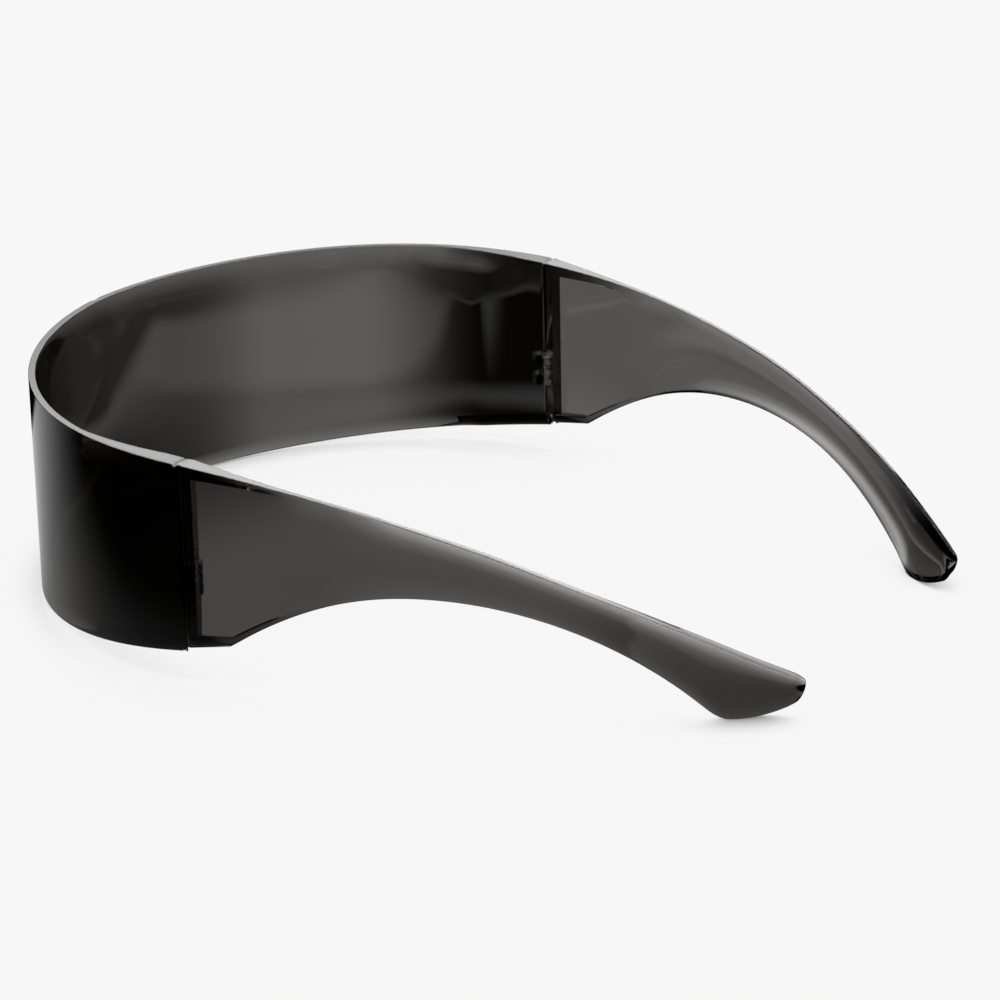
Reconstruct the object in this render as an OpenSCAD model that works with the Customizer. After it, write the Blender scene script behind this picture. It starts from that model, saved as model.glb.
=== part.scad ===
// Shield sunglasses: one wrap-round moulded shield, two folding temples and their hinge screws.
// The glasses stand on the lowest part of the shield's front and on both temple heels.
// X runs across the face, -Y is the way the wearer looks, Z is up from the surface they stand on.

/* [Shield] */
// Width over the outside of both hinge ends
face_width = 146; // [130:0.5:165]
// How far the shield bows forward of the hinge seams
shield_depth = 70.4; // [60:0.2:85]
// Height of the shield at its centre line
shield_height = 45.8; // [40:0.2:58]
// How far the top edge drops from the centre to the hinge ends
top_drop = 1.6; // [0.4:0.1:3]
// How far the bottom edge rises from the centre to the hinge ends
bottom_rise = 6.8; // [4:0.1:9]
// Length of the level stretch under the front that the glasses stand on
rest_run = 4; // [2:0.2:8]
// Wall thickness over the face
lens_wall = 2; // [1.6:0.1:2.6]
// Wall thickness at the hinge ends, shared with the temples
end_wall = 4.1; // [3.6:0.1:5]
// Distance from the seam at which the wall starts to thicken
thicken_run = 26; // [18:0.5:34]
// Length of full thickness next to the seam
land_run = 5; // [3:0.5:8]
// Width of the gate mark on the outer top edge, at the centre
gate_width = 2.2; // [1:0.1:4]
// Depth of the gate mark
gate_depth = 0.3; // [0.1:0.05:0.6]

/* [Temples] */
// How far the temples reach behind the hinge seams
temple_reach = 113.1; // [100:0.5:130]
// How far each temple tip comes in from the full width
toe_in = 37.9; // [28:0.5:44]
// Wall thickness of a temple behind its pocket
temple_wall = 2.2; // [1.8:0.1:2.8]
// Height of the arch under the temple that clears the ear
arch_height = 22.6; // [18:0.2:25]
// Height of the highest point of a temple tip
tip_height = 7.5; // [6:0.1:10]
// Length from the heel that touches the surface to the tip
heel_run = 12; // [10:0.5:16]
// Length of the level stretch under the heel
heel_flat = 1; // [0.5:0.1:2]
// Length of the near-straight bottom edge behind the seam
border_run = 9.5; // [7:0.5:13]
// Rise of that bottom edge over its length
border_climb = 1.6; // [0.8:0.1:2.4]

/* [Temple pocket] */
// Thickness left at the floor of the pocket
pocket_floor = 2; // [1.6:0.1:2.1]
// Width of the rim between the seam and the pocket
pocket_front = 3.4; // [3:0.1:5]
// Distance from the seam to the end of the pocket
pocket_end = 21.5; // [18:0.5:26]
// Height of the rim over the pocket at its front
rim_top = 2.3; // [1.6:0.1:3]
// Height of the rim under the pocket at its front
rim_bottom = 1.9; // [1.6:0.1:3]
// Height of both rims at the pocket's end
rim_end = 0.8; // [0.5:0.1:1.4]

/* [Seam] */
// Gap between the butted faces of the shield and a temple
seam_gap = 0.15; // [0.1:0.05:0.3]
// How far the butted faces lie forward of the seam line
seam_set = 1.4; // [1.1:0.1:2]
// Thickness of the outer lip that the shield carries back over the seam
lip_width = 0.95; // [0.6:0.05:1.3]
// Distance that the lip stops short of the seam line
lip_short = 0.2; // [0.15:0.05:0.4]
// Width of the chamfer on the outer front corner of a temple
temple_chamfer = 1.5; // [1.1:0.1:1.9]
// Radius of the inner corners at the seam
seam_corner = 0.8; // [0.4:0.1:1]
// Width of the small notch that breaks the seam at the top and bottom edges
seam_notch = 1; // [0.6:0.1:1.4]

/* [Hinges] */
// Height of a hinge's middle above the surface
hinge_height = 20.2; // [17:0.2:24]
// Outer diameter of the hinge knuckles
barrel_diameter = 3.4; // [3.2:0.1:3.8]
// Height of each knuckle that belongs to the shield
outer_knuckle = 2.1; // [1.8:0.1:2.6]
// Height of the knuckle that belongs to a temple
middle_knuckle = 2.3; // [1.8:0.1:3]
// Gap between two knuckles
knuckle_gap = 0.1; // [0.05:0.05:0.2]
// Distance from the inner wall face to the hinge axis
axis_inset = 0.4; // [0.3:0.1:0.8]
// Distance of the hinge axis behind the seam line
axis_back = 0.3; // [0.2:0.1:0.5]
// Clearance round the knuckles in the opposite wall
knuckle_relief = 0.2; // [0.15:0.05:0.3]
// Length of the root that ties a shield knuckle to the wall
knuckle_root = 2.5; // [1.5:0.1:4]

/* [Hinge screws] */
// Diameter of the screw's shank
shank_diameter = 1.4; // [1:0.1:1.6]
// Radial clearance of the shank in the knuckles
shank_clearance = 0.05; // [0.03:0.01:0.08]
// Radial bite of the thread in the lowest knuckle
thread_bite = 0.04; // [0.02:0.01:0.08]
// Diameter of the screw's head
head_diameter = 2.3; // [1.9:0.1:2.5]
// Height of the screw's head
head_height = 0.6; // [0.4:0.1:0.9]
// Depth of the screwdriver slot in the head
slot_depth = 0.3; // [0.2:0.05:0.35]
// Width of the screwdriver slot
slot_width = 0.35; // [0.25:0.05:0.5]
// Gap under the head and in front of the shank's blind end
seat_gap = 0.05; // [0.03:0.01:0.08]

/* [Hidden] */

smoke = "#3d3a37";
steel = "#b9bcc0";

// Steps along each curve, and the fineness of round features
plan_steps = 36;
edge_steps = 18;
bend_steps = 8;
corner_steps = 5;
$fn = 48;

// Overrun of every cut past the face that it opens
over = 1;

// Powers that shape the shield's plan curve, squarer than an ellipse at the sides and the brow
side_power_share = 1.138;
brow_power_share = 0.913;
// Power of the bottom edge's sweep
sweep_power_share = 1.57;
// Parts of the toe-in and of the top edge's drop that grow with the first, second and third power
toe_shares = [0.406, 0, 0.594];
drop_shares = [0.34, 0.275, 0.385];
// Place of the arch's highest point along the temple
arch_share = 0.442;
// Place of the heel's round and of the tail's underside, along and up from the heel and the tip
heel_start_shares = [0.42, 0.39];
tail_start_shares = [0.24, 0.35];
nose_share = 0.93;
top_round_share = 0.12;
// Handles of each bend, as parts of the way along and up between its ends
arch_rise_shares = [[0.365, 0.72], [0.66, 1]];
arch_fall_shares = [[0.36, 0], [0.72, 0.31]];
heel_shares = [[0.4, 0.67], [0.68, 1]];
sole_shares = [[0.36, 0], [0.7, 0.46]];
nose_shares = [[0.4, 0.25], [0.85, 0.65]];
crown_shares = [[0, 0.5], [0.3, 0.8]];

half_width = face_width / 2;
seam_y = (shield_depth - temple_reach) / 2;
end_height = shield_height - top_drop;
front_face = half_width - end_wall;
barrel_radius = barrel_diameter / 2;
shank_radius = shank_diameter / 2;
axis_x = front_face - axis_inset;
barrel_height = 2 * outer_knuckle + middle_knuckle + 2 * knuckle_gap;
barrel_bottom = hinge_height - barrel_height / 2;
middle_bottom = barrel_bottom + outer_knuckle + knuckle_gap;
middle_top = middle_bottom + middle_knuckle;
barrel_top = barrel_bottom + barrel_height;
head_pocket = head_height + seat_gap;
arch_y = temple_reach * arch_share;
heel_y = temple_reach - heel_run;

// Sum of three shares times the rising powers of v
function rising(shares, v) = v * (shares[0] + v * (shares[1] + v * shares[2]));

// Direction square to the right of the way from a to b
function right_of(a, b) = [b.y - a.y, a.x - b.x] / norm(b - a);

// Points of one bend from a to b, without its last point
function bend(a, b, shares) =
    let (d = b - a)
    let (p = [a.x + d.x * shares[0].x, a.y + d.y * shares[0].y])
    let (q = [a.x + d.x * shares[1].x, a.y + d.y * shares[1].y])
    [for (i = [0:bend_steps - 1])
        let (t = i / bend_steps)
        let (s = 1 - t)
        s * s * s * a + 3 * s * s * t * p + 3 * s * t * t * q + t * t * t * b];

// Points of a quarter round from angle a0 to a1 about a centre
function round_corner(centre, radius, a0, a1) =
    [for (i = [0:corner_steps])
        let (a = a0 + (a1 - a0) * i / corner_steps)
        centre + radius * [cos(a), sin(a)]];

// Every point with its first coordinate turned over, in reverse order, without both ends
function mirrored(points) = [for (i = [len(points) - 2:-1:1]) [-points[i].x, points[i].y]];

// Shield plan: point on the outer face at sweep angle t, 0 at the centre and 90 at the seam
function shield_outer(t) =
    [half_width * pow(sin(t), side_power_share), -shield_depth * pow(cos(t), brow_power_share)];

// Sweep angle at which the outer face lies a given distance in front of the seam line
function sweep_at(distance) = acos(pow(distance / shield_depth, 1 / brow_power_share));

// Wall thickness of the shield a given distance in front of the seam line
function shield_wall(distance) =
    let (grown = (thicken_run - distance) / (thicken_run - land_run))
    lens_wall + (end_wall - lens_wall) * max(0, min(1, grown));

// Shield plan: point on the inner face opposite the outer point at sweep angle t
function shield_inner(t) =
    let (a = shield_outer(max(t - 1, 0)))
    let (b = shield_outer(min(t + 1, 90)))
    shield_outer(t) - right_of(a, b) * shield_wall(-shield_outer(t).y);

// Shield profile, seen from the side, s being 0 at the seam and 1 at the front
function shield_top(s) = shield_height - top_drop * pow(1 - s, 2);
function shield_bottom(s) =
    bottom_rise * pow(max(0, 1 - s - rest_run / shield_depth), sweep_power_share);

// Temple plan: point on the outer face a distance y behind the seam line
function temple_outer(y) = [half_width - toe_in * rising(toe_shares, y / temple_reach), y];

// Temple plan: point a given depth under the outer face
function temple_under(y, depth) =
    temple_outer(y) - right_of(temple_outer(y - 1), temple_outer(y + 1)) * depth;

// Thickness of the temple a distance y behind the seam line
function temple_thick(y) =
    let (grown = (pocket_end - y) / (pocket_end - pocket_front))
    temple_wall + (end_wall - temple_wall) * max(0, min(1, grown));

// Temple profile: height of the top edge
function temple_top(y) = end_height - (end_height - tip_height) * rising(drop_shares, y / temple_reach);

// Temple profile: points of the bottom edge from the seam to the tip
corner_point = [border_run, bottom_rise + border_climb];
arch_point = [arch_y, arch_height];
heel_start = [heel_y - heel_run * heel_start_shares.x, tip_height * heel_start_shares.y];
tail_start = [temple_reach - heel_run * tail_start_shares.x, tip_height * tail_start_shares.y];
nose_point = [temple_reach, tip_height * nose_share];
crown_y = temple_reach - heel_run * top_round_share;
bottom_points = concat(
    [[-over, bottom_rise - over * border_climb / border_run]],
    bend(corner_point, arch_point, arch_rise_shares),
    bend(arch_point, heel_start, arch_fall_shares),
    bend(heel_start, [heel_y - heel_flat / 2, 0], heel_shares),
    [[heel_y - heel_flat / 2, 0]],
    bend([heel_y + heel_flat / 2, 0], tail_start, sole_shares),
    bend(tail_start, nose_point, nose_shares),
    bend(nose_point, [crown_y, temple_top(crown_y)], crown_shares)
);

// Pocket profile: height of its lower edge, over the bottom edge by a rim that narrows
function pocket_bottom(y) =
    let (v = (y - pocket_front) / (pocket_end - pocket_front))
    lookup(y, bottom_points) + rim_bottom + (rim_end - rim_bottom) * v;

// Plan of the shield's wall, with its lip and butt faces at both seams
module shield_plan() {
    butt_y = -seam_set;
    last_outer = sweep_at(lip_short);
    last_inner = sweep_at(seam_set + seam_corner);
    inner_x = shield_inner(last_inner).x;
    right = concat(
        [for (i = [0:plan_steps]) shield_outer(last_outer * i / plan_steps)],
        [[half_width - lip_width, butt_y]],
        round_corner([inner_x + seam_corner, butt_y - seam_corner], seam_corner, 90, 180),
        [for (i = [plan_steps - 1:-1:0]) shield_inner(last_inner * i / plan_steps)]
    );
    polygon(concat(right, mirrored(right)));
}

// Side view of the shield, drawn in Y and Z
module shield_profile() {
    front = -shield_depth;
    polygon(concat(
        [[over, end_height], [0, end_height]],
        [for (i = [1:edge_steps]) [front * i / edge_steps, shield_top(i / edge_steps)]],
        [[front - over, shield_height], [front - over, 0], [front + rest_run, 0]],
        [for (i = [edge_steps - 1:-1:1])
            let (s = (1 - rest_run / shield_depth) * i / edge_steps)
            [front * s, shield_bottom(s)]],
        [[0, shield_bottom(0)], [over, shield_bottom(0)]]
    ));
}

// Side view of a temple, drawn in Y and Z
module temple_profile() {
    polygon(concat(
        bottom_points,
        [for (i = [edge_steps:-1:0])
            let (y = crown_y * i / edge_steps)
            [y, temple_top(y)]],
        [[-over, temple_top(-over)]]
    ));
}

// Plan of a temple's wall
module temple_plan() {
    butt_y = seam_gap - seam_set;
    reach = temple_reach + over;
    polygon(concat(
        [[half_width - temple_chamfer, butt_y]],
        [for (i = [0:plan_steps]) temple_outer(reach * i / plan_steps)],
        [for (i = [plan_steps:-1:1])
            let (y = reach * i / plan_steps)
            temple_under(y, temple_thick(y))],
        round_corner([front_face + seam_corner, butt_y + seam_corner], seam_corner, 180, 270)
    ));
}

// Plan of the space that the pocket leaves open over its floor
module pocket_plan() {
    run = pocket_end - pocket_front;
    polygon(concat(
        [for (i = [0:bend_steps]) temple_under(pocket_front + run * i / bend_steps, pocket_floor)],
        [[front_face - end_wall, pocket_end], [front_face - end_wall, pocket_front]]
    ));
}

// Side view of the pocket, drawn in Y and Z
module pocket_profile() {
    run = pocket_end - pocket_front;
    polygon(concat(
        [for (i = [0:bend_steps])
            let (y = pocket_front + run * i / bend_steps)
            [y, pocket_bottom(y)]],
        [[pocket_end, temple_top(pocket_end) - rim_end],
         [pocket_front, temple_top(pocket_front) - rim_top]]
    ));
}

// A side view drawn in Y and Z, carried across the whole width
module across() {
    translate([-half_width - over, 0, 0]) rotate([90, 0, 90])
        linear_extrude(face_width + 2 * over) children();
}

// A plan carried up the whole height
module upward() {
    translate([0, 0, -over]) linear_extrude(shield_height + 2 * over) children();
}

// A round bar on the right-hand hinge axis between two heights
module on_axis(radius, low, high) {
    translate([axis_x, axis_back, low]) cylinder(r = radius, h = high - low);
}

// The small notch that breaks the seam at one edge height
module seam_break(height) {
    side = seam_notch / sqrt(2);
    translate([0, seam_gap / 2 - seam_set, height]) rotate([45, 0, 0])
        cube([face_width + 2 * over, side, side], center = true);
}

// One shield knuckle between two heights, with the root that ties it to the wall
module shield_knuckle(low, high) {
    left = axis_x - barrel_radius;
    right = axis_x + barrel_radius;
    on_axis(barrel_radius, low, high);
    translate([0, 0, low]) linear_extrude(high - low) polygon([
        [left, axis_back],
        [left, -seam_set],
        [front_face + axis_inset, -seam_set - knuckle_root],
        [right, -seam_set - knuckle_root],
        [right, axis_back]
    ]);
}

// Bore through the shield's knuckles, with the head's pocket and the tight threaded end
module screw_bore() {
    on_axis(shank_radius + shank_clearance, middle_bottom - knuckle_gap / 2, barrel_top + over);
    on_axis(shank_radius - thread_bite, barrel_bottom - over, middle_bottom);
    on_axis(head_diameter / 2 + shank_clearance, barrel_top - head_pocket, barrel_top + over);
}

// Everything of the right-hand hinge that is added to the shield
module hinge_knuckles() {
    shield_knuckle(barrel_bottom, middle_bottom - knuckle_gap);
    shield_knuckle(middle_top + knuckle_gap, barrel_top);
}

// Room in a temple's wall for one shield knuckle and its root
module knuckle_room(low, high) {
    width = barrel_radius + knuckle_relief;
    on_axis(width, low, high);
    translate([front_face - over, -seam_set - over, low])
        cube([axis_x + width - front_face + over, seam_set + over + axis_back, high - low]);
}

// Both sides of the face at once
module both_sides() {
    children();
    mirror([1, 0, 0]) children();
}

module shield() {
    color(smoke) translate([0, seam_y, 0]) difference() {
        union() {
            difference() {
                intersection() {
                    upward() shield_plan();
                    across() shield_profile();
                }
                both_sides()
                    on_axis(barrel_radius + knuckle_relief, middle_bottom - knuckle_gap, middle_top + knuckle_gap);
                seam_break(shield_bottom(0));
                seam_break(end_height);
                translate([0, -shield_depth, shield_height]) rotate([45, 0, 0])
                    cube([gate_width, 2 * gate_depth, 2 * gate_depth], center = true);
            }
            both_sides() hinge_knuckles();
        }
        both_sides() screw_bore();
    }
}

module temple() {
    difference() {
        union() {
            difference() {
                intersection() {
                    upward() temple_plan();
                    across() temple_profile();
                }
                intersection() {
                    upward() pocket_plan();
                    across() pocket_profile();
                }
                knuckle_room(barrel_bottom - knuckle_gap, middle_bottom);
                knuckle_room(middle_top, barrel_top + knuckle_gap);
                seam_break(bottom_rise);
                seam_break(end_height);
            }
            on_axis(barrel_radius, middle_bottom, middle_top);
        }
        on_axis(shank_radius + shank_clearance, middle_bottom - over, middle_top + over);
    }
}

module temple_left() {
    color(smoke) translate([0, seam_y, 0]) temple();
}

module temple_right() {
    color(smoke) translate([0, seam_y, 0]) mirror([1, 0, 0]) temple();
}

module hinge_screw() {
    head_bottom = barrel_top - head_height;
    difference() {
        union() {
            on_axis(shank_radius, barrel_bottom, head_bottom);
            on_axis(head_diameter / 2, head_bottom, barrel_top);
        }
        translate([axis_x, axis_back, barrel_top])
            cube([head_diameter + over, slot_width, 2 * slot_depth], center = true);
    }
}

module hinge_screw_left() {
    color(steel) translate([0, seam_y, 0]) hinge_screw();
}

module hinge_screw_right() {
    color(steel) translate([0, seam_y, 0]) mirror([1, 0, 0]) hinge_screw();
}

shield();
temple_left();
temple_right();
hinge_screw_left();
hinge_screw_right();
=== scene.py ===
"""Shield sunglasses in smoke polycarbonate, standing open on a pale studio floor."""

import bisect
import logging
import math
from contextlib import contextmanager
from dataclasses import dataclass, field
from enum import Enum
from typing import Callable, Dict, Iterator, List, Mapping, Optional, Sequence, Tuple, Union

import bpy
from mathutils import Matrix, Vector

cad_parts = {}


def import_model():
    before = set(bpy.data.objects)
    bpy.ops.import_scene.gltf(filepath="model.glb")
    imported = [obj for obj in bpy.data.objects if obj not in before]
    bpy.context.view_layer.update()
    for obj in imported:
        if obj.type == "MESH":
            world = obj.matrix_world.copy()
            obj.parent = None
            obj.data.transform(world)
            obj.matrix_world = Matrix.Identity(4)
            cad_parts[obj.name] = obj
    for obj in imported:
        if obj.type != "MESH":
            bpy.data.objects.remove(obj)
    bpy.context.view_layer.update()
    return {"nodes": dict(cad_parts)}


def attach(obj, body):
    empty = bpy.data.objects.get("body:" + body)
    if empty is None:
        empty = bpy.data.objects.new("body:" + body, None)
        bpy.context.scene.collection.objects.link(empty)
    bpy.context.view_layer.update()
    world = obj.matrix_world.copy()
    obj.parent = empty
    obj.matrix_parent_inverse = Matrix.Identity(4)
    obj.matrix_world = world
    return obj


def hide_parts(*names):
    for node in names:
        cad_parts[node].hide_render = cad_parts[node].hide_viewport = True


log = logging.getLogger("shield_sunglasses")

Point = Tuple[float, float, float]
Flat = Tuple[float, float]
Ramp = Tuple[str, Flat, Flat]
RingPoint = Tuple[int, float, float, float]
EndStep = Tuple[float, float, float, float]
Inputs = Mapping[Union[str, int], object]

MM = 0.001
# Rows of a section's ring that belong to its top edge and to its lower edge
TOP = -1
HEM = -2
# Distances in mm under which points merge and edges dissolve
MERGE = 0.002
DISSOLVE = 0.001
# Width in mm that counts as none
TINY = 1e-6
# Faces that meet at less than this angle in degrees are smoothed together
SMOOTH_ANGLE = 32.0
# A square bar at this tilt in degrees lies on its corner
ON_CORNER = 45.0
# Sides of a round bar, and faces across its rounded end edges
ROD_SIDES = 48
ROD_ROUNDING = 3


class Side(Enum):
    """The wearer's side that a temple or a hinge belongs to."""

    LEFT = 1
    RIGHT = -1

    @property
    def word(self) -> str:
        """The side's name as the frame's names have it."""
        return self.name.lower()


class Cut(Enum):
    """What a Boolean does with the second shape."""

    ADD = "UNION"
    TAKE = "DIFFERENCE"


def linear(hex_colour: str) -> Tuple[float, float, float, float]:
    """Turns an sRGB hex colour to linear light.

    Args:
        hex_colour: Six hex digits after a hash sign.

    Returns:
        The colour in linear light, with an alpha of 1.
    """
    parts = [int(hex_colour[i:i + 2], 16) / 255 for i in (1, 3, 5)]
    turned = [p / 12.92 if p <= 0.04045 else ((p + 0.055) / 1.055) ** 2.4 for p in parts]
    return (turned[0], turned[1], turned[2], 1.0)


def clamp(value: float) -> float:
    """Holds a value between 0 and 1."""
    return max(0.0, min(1.0, value))


def ease(value: float) -> float:
    """Smooth step from 0 to 1."""
    v = clamp(value)
    return v * v * (3 - 2 * v)


def between(a: float, b: float, share: float) -> float:
    """The value a given share of the way from a to b."""
    return a + (b - a) * share


def deselect() -> None:
    """Leaves edit mode and deselects every object."""
    if bpy.context.object and bpy.context.object.mode != "OBJECT":
        bpy.ops.object.mode_set(mode="OBJECT")
    bpy.ops.object.select_all(action="DESELECT")


def take_up(piece: bpy.types.Object) -> None:
    """Makes one piece the only selected and the active one.

    Args:
        piece: The piece to take up.
    """
    deselect()
    piece.select_set(True)
    bpy.context.view_layer.objects.active = piece


@contextmanager
def editing() -> Iterator[None]:
    """Holds the active piece in edit mode, with all of it selected at first."""
    bpy.ops.object.mode_set(mode="EDIT")
    bpy.ops.mesh.select_all(action="SELECT")
    yield
    bpy.ops.object.mode_set(mode="OBJECT")


def finish_modifier(piece: bpy.types.Object, kind: str, **settings: object) -> None:
    """Adds a modifier to a piece and applies it at once.

    Args:
        piece: The piece to change.
        kind: The modifier's type.
        settings: The modifier's settings.
    """
    take_up(piece)
    step = piece.modifiers.new(kind.title(), kind)
    for key, value in settings.items():
        setattr(step, key, value)
    bpy.ops.object.modifier_apply(modifier=step.name)


def combine(piece: bpy.types.Object, other: bpy.types.Object, cut: Cut) -> None:
    """Joins another shape to a piece or cuts it away, and removes that shape.

    Args:
        piece: The piece to change.
        other: The shape to add or to take away.
        cut: Which of the two is done.
    """
    finish_modifier(piece, "BOOLEAN", operation=cut.value, object=other, solver="MANIFOLD")
    mesh = other.data
    bpy.data.objects.remove(other)
    bpy.data.meshes.remove(mesh)


def settle(piece: bpy.types.Object) -> None:
    """Puts a piece's place, turn and scale into its mesh."""
    take_up(piece)
    bpy.ops.object.transform_apply(location=True, rotation=True, scale=True)


def rod(radius: float, low: float, high: float, place: Flat, edge: float = 0.0) -> bpy.types.Object:
    """A round bar that stands on end, with its ends' edges rounded.

    Args:
        radius: Radius in mm.
        low: Height of its lower end in mm.
        high: Height of its upper end in mm.
        place: Its middle in X and Y, in mm.
        edge: Radius of the rounded end edges in mm, or 0.

    Returns:
        The new object.
    """
    deselect()
    middle = (place[0] * MM, place[1] * MM, (low + high) / 2 * MM)
    bpy.ops.mesh.primitive_cylinder_add(
        vertices=ROD_SIDES, radius=radius * MM, depth=(high - low) * MM, location=middle
    )
    bar = bpy.context.active_object
    settle(bar)
    if edge:
        finish_modifier(bar, "BEVEL", width=edge * MM, segments=ROD_ROUNDING, limit_method="ANGLE")
    return bar


def block(middle: Point, size: Point, tilt: float = 0.0) -> bpy.types.Object:
    """A square block.

    Args:
        middle: Its middle in mm.
        size: Its sides in mm.
        tilt: Its turn round its length, which lies along X, in degrees.

    Returns:
        The new object.
    """
    deselect()
    bpy.ops.mesh.primitive_cube_add(
        size=1, location=[c * MM for c in middle], rotation=(math.radians(tilt), 0, 0)
    )
    cube = bpy.context.active_object
    cube.scale = [c * MM for c in size]
    settle(cube)
    return cube


def standing_prism(outline: Sequence[Flat], low: float, high: float) -> bpy.types.Object:
    """A prism with a flat outline, extruded upwards.

    Args:
        outline: The corners in X and Y, in mm.
        low: Height of its lower face in mm.
        high: Height of its upper face in mm.

    Returns:
        The new object.
    """
    deselect()
    bpy.ops.mesh.primitive_circle_add(vertices=len(outline), radius=1, fill_type="NGON")
    shape = bpy.context.active_object
    for vertex, corner in zip(shape.data.vertices, outline):
        vertex.co = Vector((corner[0], corner[1], low)) * MM
    with editing():
        rise = (0, 0, (high - low) * MM)
        bpy.ops.mesh.extrude_region_move(TRANSFORM_OT_translate={"value": rise})
        bpy.ops.mesh.select_all(action="SELECT")
        bpy.ops.mesh.normals_make_consistent(inside=False)
    return shape


def drawn_bar(name: str, around: int, along: int, spot: Callable[[int, int], Point]) -> bpy.types.Object:
    """A moulded bar: a ring of points that is extruded station by station and laid to shape.

    The two end rings are laid flat together, so that they close when doubles merge.

    Args:
        name: Name of the piece.
        around: Number of points in the ring.
        along: Number of stations.
        spot: Gives the place in mm of a ring point at a station.

    Returns:
        The closed piece, with its faces outwards.
    """
    deselect()
    bpy.ops.mesh.primitive_circle_add(vertices=around, radius=1, fill_type="NOTHING")
    piece = bpy.context.active_object
    piece.name = name
    piece.data.name = name
    with editing():
        for _ in range(along - 1):
            bpy.ops.mesh.extrude_region_move(TRANSFORM_OT_translate={"value": (0, 0, 1)})
    for vertex in piece.data.vertices:
        turn = math.atan2(vertex.co.x, vertex.co.y) / math.tau
        ring = round(turn * around) % around
        vertex.co = Vector(spot(ring, round(vertex.co.z))) * MM
    with editing():
        bpy.ops.mesh.remove_doubles(threshold=MERGE * MM)
        bpy.ops.mesh.dissolve_degenerate(threshold=DISSOLVE * MM)
        bpy.ops.mesh.select_all(action="SELECT")
        bpy.ops.mesh.normals_make_consistent(inside=False)
    return piece


def bezier(a: Flat, b: Flat, shares: Sequence[Flat], steps: int) -> List[Flat]:
    """Points of one bend of an edge, without its last point.

    Args:
        a: First end.
        b: Last end.
        shares: Both handles, as parts of the way between the ends.
        steps: Number of steps.

    Returns:
        The points, from a on.
    """
    dx, dy = b[0] - a[0], b[1] - a[1]
    p, q = ((a[0] + dx * share[0], a[1] + dy * share[1]) for share in shares)
    points = []
    for i in range(steps):
        t = i / steps
        s = 1 - t
        w = (s * s * s, 3 * s * s * t, 3 * s * t * t, t * t * t)
        points.append(tuple(w[0] * a[k] + w[1] * p[k] + w[2] * q[k] + w[3] * b[k] for k in (0, 1)))
    return points


def height_on(points: Sequence[Flat], y: float) -> float:
    """Height of an edge, given by its points, at a distance y.

    Args:
        points: The edge's points, in rising order.
        y: The distance.

    Returns:
        The height there.
    """
    i = bisect.bisect_right([p[0] for p in points], y)
    if i == 0:
        return points[0][1]
    if i == len(points):
        return points[-1][1]
    a, b = points[i - 1], points[i]
    return between(a[1], b[1], (y - a[0]) / (b[0] - a[0]))


@dataclass
class Proportions:
    """Sizes in mm that the shield, the temples and the hinges share, as in the part's source."""

    face_width: float = 146.0
    shield_depth: float = 70.4
    temple_reach: float = 113.1
    shield_height: float = 45.8
    top_drop: float = 1.6
    bottom_rise: float = 6.8
    end_wall: float = 4.1
    seam_set: float = 1.4
    seam_gap: float = 0.15
    seam_corner: float = 0.3
    seam_land: float = 0.3
    seam_notch: float = 1.0
    seam_shift: float = 1.0
    top_round: float = 0.15
    hem_round: float = 0.45
    round_steps: int = 4
    round_spare: float = 0.2
    top_support: float = 1.4

    @property
    def half(self) -> float:
        """Half of the full width."""
        return self.face_width / 2

    @property
    def seam_y(self) -> float:
        """Place of the seam line in the shared frame."""
        return (self.shield_depth - self.temple_reach) / 2

    @property
    def end_height(self) -> float:
        """Height of the top edge at the seam."""
        return self.shield_height - self.top_drop

    def section_ring(self, rows: int) -> List[RingPoint]:
        """Ring of a wall's section: up the outer face, over the top edge, down the inner face and under.

        Args:
            rows: Number of rows on each face.

        Returns:
            For each point its row, its depth share, and its rounding inset in depth and in height, in parts
            of the edge's radius. The row is one of a face's rows, or TOP or HEM for a point of either edge.
        """
        turns = [math.pi / 2 * i / self.round_steps for i in range(self.round_steps + 1)]
        rounds = [(1 - math.sin(a), 1 - math.cos(a)) for a in turns]
        ring = [(row, 0.0, 0.0, 0.0) for row in range(rows)]
        ring += [(TOP, 0.0, depth, drop) for drop, depth in rounds]
        ring += [(TOP, 0.0, self.top_support, 0.0), (TOP, 1.0, -self.top_support, 0.0)]
        ring += [(TOP, 1.0, -depth, drop) for drop, depth in reversed(rounds)]
        ring += [(row, 1.0, 0.0, 0.0) for row in reversed(range(rows))]
        ring += [(HEM, 1.0, -depth, drop) for drop, depth in rounds]
        ring += [(HEM, 0.5, 0.0, 0.0)]
        return ring + [(HEM, 0.0, depth, drop) for drop, depth in reversed(rounds)]

    def seam_end(self, outer: Sequence[Flat], seam: float) -> List[EndStep]:
        """Steps of a wall's end at the seam, from its faces to the middle of the seam's face.

        Args:
            outer: Depth and distance of the outer side's points.
            seam: Distance of the seam's face.

        Returns:
            The steps, each with its outer depth and distance and its inner depth and distance.
        """
        wall, corner = self.end_wall, self.seam_corner
        turns = [math.radians(90 * i / self.round_steps) for i in range(self.round_steps + 1)]
        inner = [(wall - corner + corner * math.cos(a), seam + corner - corner * math.sin(a)) for a in turns]
        middle = (outer[-1][0] + wall - corner) / 2
        return [(*o, *n) for o, n in zip(outer, inner)] + [(middle, seam, middle, seam)]

    def pinch(self, wide: float, radius: float) -> float:
        """Share of an edge's rounding that a wall of a given width has room for."""
        return min(1.0, wide / (2 * radius + self.round_spare))

    def notch(self, height: float) -> bpy.types.Object:
        """The cutter of the small notch that breaks both seams at one edge height.

        Args:
            height: Height of the edge in mm.

        Returns:
            A square bar on its corner, across the whole width.
        """
        y = self.seam_y + self.seam_gap / 2 - self.seam_set + self.seam_shift
        side = self.seam_notch / math.sqrt(2)
        return block((0, y, height), (self.face_width + 2, side, side), ON_CORNER)


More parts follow.
